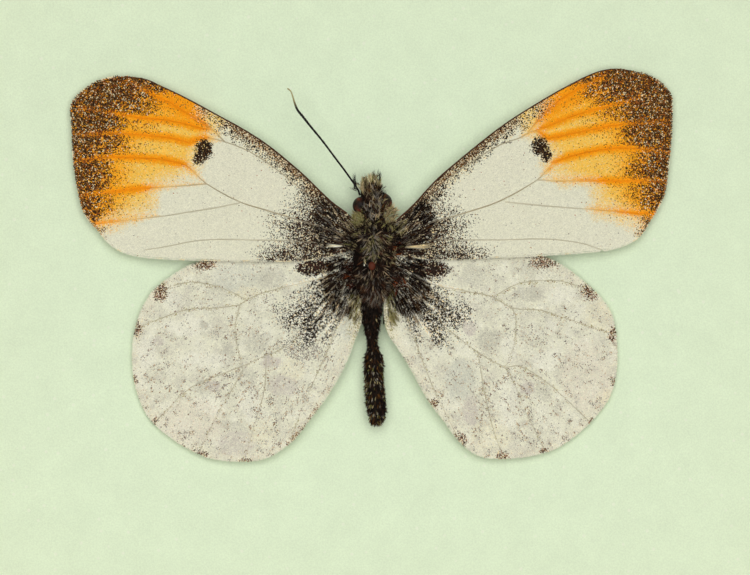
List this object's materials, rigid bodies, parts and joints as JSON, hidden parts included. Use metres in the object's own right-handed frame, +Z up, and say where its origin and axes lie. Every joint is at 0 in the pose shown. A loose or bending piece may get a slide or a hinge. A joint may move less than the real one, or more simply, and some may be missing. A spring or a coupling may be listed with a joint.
{
  "type": "framed butterfly specimen",
  "caption": "Small upright wooden box frame holding a pinned, spread butterfly, white with orange and dark wing tips, on a pale green card.",
  "frame": {"origin": "middle of the bottom rail's underside, on the surface that the frame stands on", "axes": "+Z up, -Y out of the display side, +X to the right when seen from the display side"},
  "size_m": [0.089, 0.0215, 0.076],
  "materials": {
    "frame_wood": "satin oak",
    "card": "matte pale green paper face",
    "foam": "matte foam",
    "hardboard": "matte pressed fibre",
    "point_steel": "satin",
    "zinc": "bright zinc plate",
    "pin": "dull reddish bronze",
    "body": "dark olive brown hair",
    "limbs": "dark horn",
    "forewings": "dry scales, white with orange and dark brown tips",
    "hindwings": "dry scales, off-white with grey clouds"
  },
  "bodies": {
    "root": {"rail_bottom": "frame_wood", "rail_top": "frame_wood", "rail_left": "frame_wood", "rail_right": "frame_wood", "backing_card": "card", "foam_board": "foam", "back_panel": "hardboard", "retaining_point_1": "point_steel", "retaining_point_2": "point_steel", "retaining_point_3": "point_steel", "retaining_point_4": "point_steel", "retaining_point_5": "point_steel", "retaining_point_6": "point_steel", "sawtooth_hanger": "zinc", "hanger_nail_left": "zinc", "hanger_nail_right": "zinc", "insect_pin": "pin", "thorax": "body", "head": "body", "abdomen": "body", "antenna_left": "limbs", "leg_fore_left": "limbs", "leg_fore_right": "limbs", "leg_mid_left": "limbs", "leg_mid_right": "limbs", "leg_hind_left": "limbs", "leg_hind_right": "limbs", "forewing_left": "forewings", "forewing_right": "forewings", "hindwing_left": "hindwings", "hindwing_right": "hindwings"}
  },
  "joints": []
}
